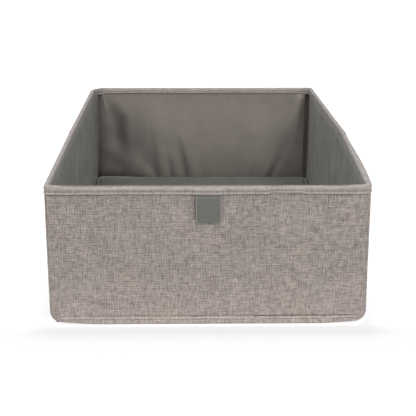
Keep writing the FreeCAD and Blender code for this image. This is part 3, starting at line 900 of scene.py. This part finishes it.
def back_relief(wall, along, height):
    """How far the back lining stands off its board, in mm."""
    edge = min(along, LENGTHS[wall] - along)
    x = RIGHT - along
    # Left of a slanting line the cloth lies back, and right of it billows out in two steps.
    valley = -121.0 - 0.5 * max(0.0, height - 100.0)
    centre = (0.70 * ease(x, valley - 8.0, valley + 15.0)
              + 0.30 * ease(x, valley + 24.0, valley + 50.0))
    billow = 6.2 * centre * ease(132.0 - x, 0.0, 46.0) * swell(height - 66.0, 74.0)
    folds = sum(fold_height(fold, x, height) for fold in BACK_FOLDS)
    out = billow + folds * ease(edge, 3.0, 9.0) + 0.15 * ripple(x / 16, height / 30, 0.0, 40) + 0.2
    out *= 1.0 - ease(height, 131.0, 143.0)
    out = FOLD_LIMIT * math.tanh(out / FOLD_LIMIT)
    # Past its board the cloth sinks towards the right corner, which is a dark trough.
    sink = 2.3 * ease(10.0 - along, 0.0, 4.0) * ease(143.0 - height, 0.0, 6.0)
    left = 2.4 * ease(along - LENGTHS[wall] + 8.6, 0.0, 1.2)
    return out - max(sink, left, PINCH_DEPTH * swell(edge, PINCH_REACH))


def back_painted_shading(back_along, climb):
    """Painted shade on the back lining, from 0 to 1: along lines beside its folds, over its left
    and low part and in both corners' seam troughs, with painted light on its upper middle and under
    the binding.
    """
    along, height = LENGTHS["back"] - back_along, lining_profile(climb)[1]
    x = RIGHT - along
    # Painted shade along lines beside the folds.
    shade = 1.25 * max(fold_height(line, x, height) for line in BACK_PAINTED_SHADE_LINES)
    # Painted shade over the left part.
    shade += 0.50 * ease(-76.0 - x, 0.0, 56.0) * ease(132.0 - height, 0.0, 50.0)
    # Painted shade low down, and painted light on the upper middle.
    top = ease(height, 60.0, 120.0) * ease(x, -60.0, 20.0)
    shade += 0.30 * ease(64.0 - height, 0.0, 54.0) - 0.14 * top
    # Painted shade in the troughs of both corners' seams.
    right = ease(x, 143.6, 146.0) * (0.62 + 0.38 * ease(x, 147.6, 149.6))
    left = 0.85 * ease(-x, 152.4, 153.8)
    return max(shade - under_binding(height), right, left)


def lining_place(wall, relief):
    def place(back_along, climb):
        along = LENGTHS[wall] - back_along
        inset, height = lining_profile(climb)
        sharp = 1.5 + 12.0 * ease(18.0 - height, 0.0, 16.0) + 20.0 * ease(height, 120.0, 141.0)
        spot = wall_point(wall, along, height, inset + relief(wall, along, height), sharp)
        return spot + Vector((LINING_BULGE * side_bulge(spot) / SIDE_BULGE, 0.0, 0.0))
    return place


for wall in WALLS:
    length = LENGTHS[wall]
    spots = [(0.0, 5.0, 0.6), (length, 11.5, 0.6), (0.0, 20.0, 1.5), (length, 20.0, 1.5)]
    if wall in ("left", "right"):
        spots.append((BACK - 8.0 if wall == "right" else 8.0 - FRONT, 34.0, 0.9))
    loose = wall == "back"
    made = cloth("lining_cloth_" + wall, steps(0.0, length, 2.2, spots),
                 steps(0.0, LINING_TOP - ROLL + LINING_BEND, 2.2, [(0.0, LINING_BEND, 1.0)]),
                 lining_place(wall, back_relief if loose else side_relief), LINING,
                 back_lining_painted_lighter if loose else lining_cloth, "box", "nonwoven_lining",
                 painted_shading=back_painted_shading if loose else side_painted_shading(wall))
    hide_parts("lining_" + wall)

# %% [markdown]
# The base is a dark non-woven cloth. Inside, its sewn edge stands up and leans inwards
# all round, and the loose insert lies on it. Both the base and the insert are flat with
# rounded corners, so one rule turns a square grid's corners round: it bends the last
# millimetres of the grid onto a quarter circle.


# %% Flat pieces with rounded corners
def rounded_spot(x, y, half_x, half_y, radius):
    """Bends a corner of a flat grid round. Gives the spot and its distance from the edge."""
    u = (abs(x) - half_x + radius) / radius
    v = (abs(y) - half_y + radius) / radius
    if u <= 0 or v <= 0:
        return x, y, min(half_x - abs(x), half_y - abs(y))
    u, v = u * math.sqrt(1 - v * v / 2), v * math.sqrt(1 - u * u / 2)
    new_x = math.copysign(half_x - radius + radius * u, x)
    new_y = math.copysign(half_y - radius + radius * v, y)
    return new_x, new_y, radius * (1 - math.hypot(u, v))


# %% Base cloth and its seam allowance
BASE_CLOTH, BASE_RADIUS = 0.6, FOOT_RADIUS - ROLL
BASE_HALF = ((RIGHT - LEFT) / 2 - ROLL, (BACK - FRONT) / 2 - ROLL)


def base_place(x, y):
    new_x, new_y, _ = rounded_spot(x, y, *BASE_HALF, BASE_RADIUS)
    x, y = MIDDLE.x + new_x, MIDDLE.y + new_y
    return Vector((x, y, BASE_CLOTH + foot_lift(x, y)))


def centred_steps(half, coarse, edge, fine):
    return steps(-half, half, coarse, [(-half, edge, fine), (half, edge + fine, fine)])


base = cloth("base_floor", *(centred_steps(half, 8.0, 17.0, 2.0) for half in BASE_HALF),
             base_place, BASE_CLOTH, base_nonwoven, "box", "nonwoven_base")
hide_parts("base_cloth")

ALLOWANCE_LEAN, ALLOWANCE_RISE, ALLOWANCE_THICK = 8.0, 11.2, 1.2
ALLOWANCE_WIDE = math.hypot(ALLOWANCE_LEAN, ALLOWANCE_RISE - BASE_CLOTH)


def allowance_place(back_distance, up):
    share = up / ALLOWANCE_WIDE
    height = BASE_CLOTH + (ALLOWANCE_RISE - BASE_CLOTH) * share
    wave = 0.4 * ripple(back_distance / 18, share, 0.0, 50) * share
    return round_point(PERIMETER - back_distance, height,
                       ROLL + ALLOWANCE_THICK + ALLOWANCE_LEAN * share + wave)


corner_spots, corner = [(0.0, 16.0, 1.6)], 0.0
for wall in reversed(WALLS):
    corner += LENGTHS[wall]
    corner_spots.append((corner, 16.0, 1.6))
allowance = cloth("base_seam_allowance", steps(0.0, PERIMETER, 5.0, corner_spots),
                  steps(0.0, ALLOWANCE_WIDE, 2.0), allowance_place, ALLOWANCE_THICK,
                  lining_cloth, "box", "nonwoven_lining", closed=True)
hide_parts("base_cloth")

# %% [markdown]
# The base insert is a stiff board between two sheets of non-woven, sewn together round
# the edge. The sheets meet in a flat flange, and the upper one steps up over the
# board's edge. Behind, the flange is pressed against the lining and curls up.

# %% Base insert
INSERT_MIDDLE, INSERT_HALF, INSERT_RADIUS = Vector((-3.5, -1.8)), (153.4, 240.4), 12.0
INSERT_SEAM, INSERT_RISE, INSERT_SHEET = 13.6, 2.1, 0.5
FLANGE_END, SLOPE_END = 4.8, 6.6
# The insert's cover is the lining's cloth painted darker, as painted shade, to take back the extra
# light on its upturned face.
insert_cover_painted_darker = nonwoven("Spunbond insert cover", "#62645F", "#71726C", roughness=0.62)


def insert_place(direction):
    """The place rule of the upper sheet, for 1, or the lower one, for -1."""
    def place(x, y):
        new_x, new_y, edge = rounded_spot(x, y * direction, *INSERT_HALF, INSERT_RADIUS)
        rise = INSERT_SHEET + (INSERT_RISE - INSERT_SHEET) * ease(edge, FLANGE_END, SLOPE_END)
        flange = 1.0 - ease(edge, 0.0, FLANGE_END)
        rise -= 0.35 * swell(edge - FLANGE_END, 1.3) * (direction > 0)
        behind = ease(new_y, 205.0, 236.0) * (1.6 + 2.2 * ease(-new_x, 60.0, 150.0))
        curl = (behind + 0.25 * ripple(new_x / 14, new_y / 14, 0.0, 60)) * flange
        wave = 0.12 * ripple(new_x / 50, new_y / 50, 2.0, 61)
        wave *= ease(edge, SLOPE_END, 30.0) * (direction > 0)
        return Vector((INSERT_MIDDLE.x + new_x, INSERT_MIDDLE.y + new_y,
                       INSERT_SEAM + direction * rise + curl + min(0.0, wave)))
    return place


def insert_painted_shading(x, y):
    """Painted shade in the groove beside the flange, and a painted highlight on the flange's rim.
    """
    edge = rounded_spot(x, y, *INSERT_HALF, INSERT_RADIUS)[2]
    return 0.75 * swell(edge - FLANGE_END + 0.4, 1.7) - 0.45 * swell(edge - 0.6, 2.0)


for name, direction in (("top", 1), ("bottom", -1)):
    made = cloth("insert_cover_" + name,
                 *(centred_steps(half, 6.0, 12.5, 0.8) for half in INSERT_HALF),
                 insert_place(direction), INSERT_SHEET - 0.1, insert_cover_painted_darker, "base_insert",
                 "nonwoven_lining", painted_shading=insert_painted_shading)
    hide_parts("insert_sheet_" + name)

# %% [markdown]
# The pull tab is a ribbon, folded double, with both ends sewn under the binding. We
# follow its outer face in one line: down behind, round the fold, and up the front. The
# ribbon bends where it leaves the binding.

# %% Ribbon pull tab
TAB_HALF, TAB_BOTTOM, TAB_CORNER = 12.4, 110.5, 1.8
SELVEDGE_START, SELVEDGE_END = 11.6 * MM, 12.0 * MM
RIB = 0.9 * MM
RIBBON_LINE = (
    # y and height of the ribbon's outer face
    (-248.15, 143.3), (-248.15, 138.6), (-248.9, 136.6), (-249.6, 135.2), (-249.8, 133.8),
    (-249.8, 128.0), (-249.8, 119.0), (-249.8, 111.6), (-250.05, 110.75), (-250.5, 110.5),
    (-250.95, 110.75), (-251.2, 111.6), (-251.3, 119.0), (-251.3, 128.0), (-251.2, 134.0),
    (-250.9, 135.9), (-250.1, 137.3), (-249.55, 138.9), (-249.5, 143.3),
)


def ribbon(name, shade, edge):
    """A fine ribbed tape with paler selvedges."""
    material, tree = new_material(name)
    uv = add(tree, "UVMap", uv_map="weave")[0]
    flat = add(tree, "SeparateXYZ", {0: uv})
    off = add(tree, "Math", {0: flat[0]}, operation="ABSOLUTE")[0]
    selvedge = add(tree, "MapRange", {"Value": off, "From Min": SELVEDGE_START,
                                     "From Max": SELVEDGE_END})[0]
    ribs = add(tree, "TexWave", {"Vector": uv, "Scale": 1.0 / (20 * RIB), "Distortion": 0.4},
               bands_direction="Y")["Fac"]
    fleck = add(tree, "TexNoise", {"Vector": uv, "Scale": 500.0, "Detail": 3.0})["Fac"]
    mixed = add(tree, "Math", {0: ribs, 1: 0.25, 2: fleck}, operation="MULTIPLY_ADD")[0]
    level = add(tree, "MapRange", {"Value": mixed, "From Min": 0.4, "From Max": 0.9, "To Min": 0.93,
                                   "To Max": 1.06})[0]
    blended = add(tree, "Mix", {MIX_FACTOR: selvedge, MIX_A: linear(shade), MIX_B: linear(edge)},
                  data_type="RGBA")[MIX_RESULT]
    colour = add(tree, "VectorMath", {0: blended, "Scale": level}, operation="SCALE")[0]
    give_surface(tree, {"Base Color": colour, "Roughness": 0.55, "Sheen Weight": 0.1},
                 mixed, 0.3, 0.1)
    return material


ribbon_run, place_on_ribbon = measured(smooth_section(RIBBON_LINE, 4))


def tab_place(across, run):
    y, height = place_on_ribbon[round(run, 6)]
    low = TAB_CORNER - (height - TAB_BOTTOM)
    half = TAB_HALF
    if low > 0:
        half -= TAB_CORNER - math.sqrt(max(0.0, TAB_CORNER ** 2 - low ** 2))
    return Vector((TAB_AT + across / TAB_HALF * half, y, height))


tab = cloth("pull_tab_ribbon", centred_steps(TAB_HALF, 1.6, 1.5, 0.5), ribbon_run, tab_place, 0.55,
            ribbon("Ribbed polyester tape", "#6A6B66", "#A8A39B"), None, "tab_ribbon")
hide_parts("pull_tab", "tab_tail")
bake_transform(tab)

# %% [markdown]
# A lockstitch shows as a row of short capsules that dip into their needle holes. One
# stitch is a small sphere, stretched. Doubling the whole row again and again is far
# quicker than adding stitches one by one. The copies stand two units apart, so a
# vertex's place tells which stitch it belongs to. Then each is moved to its place on the
# seam, turned along it and laid on the cloth.

# %% Stitches
STITCH_LONG, STITCH_WIDE, STITCH_HIGH, COPY_STEP = 2.15, 0.46, 0.34, 2.0


def thread_finish(name, shade, bright):
    """Twisted polyester thread: pale and dark by turns along the twist, with some gloss."""
    material, tree = new_material(name)
    place = add(tree, "TexCoord")["Object"]
    twist = add(tree, "TexWave", {"Vector": place, "Scale": 90.0, "Distortion": 2.0},
                bands_direction="DIAGONAL")["Fac"]
    colour = add(tree, "Mix", {MIX_FACTOR: twist, MIX_A: linear(shade), MIX_B: linear(bright)},
                 data_type="RGBA")[MIX_RESULT]
    give_surface(tree, {"Base Color": colour, "Roughness": 0.45})
    return material


def stitch_row(name, centres, finish, body, long=STITCH_LONG):
    """Stitches at (spot, direction along the seam, direction off the cloth), in mm."""
    shape = bmesh.new()
    bmesh.ops.create_uvsphere(shape, u_segments=6, v_segments=4, radius=0.5)
    copies = 1
    while copies < len(centres):
        whole = shape.verts[:] + shape.edges[:] + shape.faces[:]
        made = bmesh.ops.duplicate(shape, geom=whole)["geom"]
        bmesh.ops.translate(shape, vec=(COPY_STEP * copies, 0.0, 0.0),
                            verts=[part for part in made if isinstance(part, bmesh.types.BMVert)])
        copies *= 2
    extra = [v for v in shape.verts if round(v.co.x / COPY_STEP) >= len(centres)]
    bmesh.ops.delete(shape, geom=extra, context="VERTS")
    turns = []
    for _, along, off in centres:
        side, along, off = (v.normalized() for v in (along.cross(off), along, off))
        turns.append(Matrix((side * STITCH_WIDE, off * STITCH_HIGH, along * long)).transposed())
    for v in shape.verts:
        which = round(v.co.x / COPY_STEP)
        own = v.co - Vector((COPY_STEP * which, 0.0, 0.0))
        v.co = (centres[which][0] + turns[which] @ own) * MM
    for face in shape.faces:
        face.smooth = True
    bmesh.ops.recalc_face_normals(shape, faces=shape.faces[:])
    return piece(name, shape, finish, body)


cloth_thread = thread_finish("Greige polyester thread", "#948A82", "#B9B0A9")
lining_thread = thread_finish("Grey polyester thread", "#6E6D68", "#8C8A84")


def seam_line(place, start, end, row, pitch, lift):
    """The stitches of a seam that follows one row of a cloth."""
    found = []
    for k in range(math.ceil(start / pitch), math.floor(end / pitch)):
        here = (k + 0.5) * pitch
        spot, ahead = place(here, row), place(here + 0.5, row)
        along = (ahead - spot).normalized()
        flat_off = Vector((along.y, -along.x, 0.0))
        found.append((spot + flat_off * lift, along, flat_off))
    return found


for name, row, lift in (("outside", GROOVE_OUT, 0.12), ("inside", GROOVE_IN, -0.12)):
    seam = seam_line(binding_place, JOIN, PERIMETER + JOIN, row, STITCH, lift)
    stitch_row("rim_stitches_" + name, seam, cloth_thread, "box")

FLANGE_SEAM, FLANGE_PITCH = 2.6, 3.2
for direction, name in ((1, "top"), (-1, "bottom")):
    rule, off_cloth, seam = insert_place(direction), Vector((0, 0, direction)), []
    for half, other, swap in ((*INSERT_HALF, False), (*INSERT_HALF[::-1], True)):
        reach = half - INSERT_RADIUS
        count = int(2 * reach / FLANGE_PITCH)
        along = Vector((0, 1, 0)) if swap else Vector((1, 0, 0))
        for side in (-1, 1):
            off = side * (other - FLANGE_SEAM)
            for k in range(count + 1):
                run = -reach + 2 * reach * k / count
                spot = rule(off, run * direction) if swap else rule(run, off * direction)
                seam.append((spot + Vector((0, 0, 0.08 * direction)), along, off_cloth))
    stitch_row("insert_stitches_" + name, seam, lining_thread, "base_insert", long=2.5)

# %% [markdown]
# The boards inside the walls and in the insert keep their measured shapes, and only
# need their finish: grey pulp board, pressed from paper fibres, with flecks and a dull
# face. A pattern on Object coordinates suits them, because they have no unwrapped map.

# %% Pulp board
pulp, tree = new_material("Grey pulp board")
place = add(tree, "TexCoord")["Object"]
fleck = add(tree, "TexNoise", {"Vector": place, "Scale": 900.0, "Detail": 4.0})["Fac"]
cloud = add(tree, "TexNoise", {"Vector": place, "Scale": 60.0, "Detail": 3.0})["Fac"]
mixed = add(tree, "Math", {0: fleck, 1: 0.6, 2: cloud}, operation="MULTIPLY_ADD")[0]
tone = add(tree, "MapRange", {"Value": mixed, "From Min": 0.55, "From Max": 1.05})[0]
colour = add(tree, "Mix", {MIX_FACTOR: tone, MIX_A: linear("#857E72"), MIX_B: linear("#A69E90")},
             data_type="RGBA")[MIX_RESULT]
give_surface(tree, {"Base Color": colour, "Roughness": 0.9, "Specular IOR Level": 0.3},
             fleck, 0.4, 0.1)
for name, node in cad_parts.items():
    if "board" in name:
        for place in node.material_slots:
            place.material = pulp
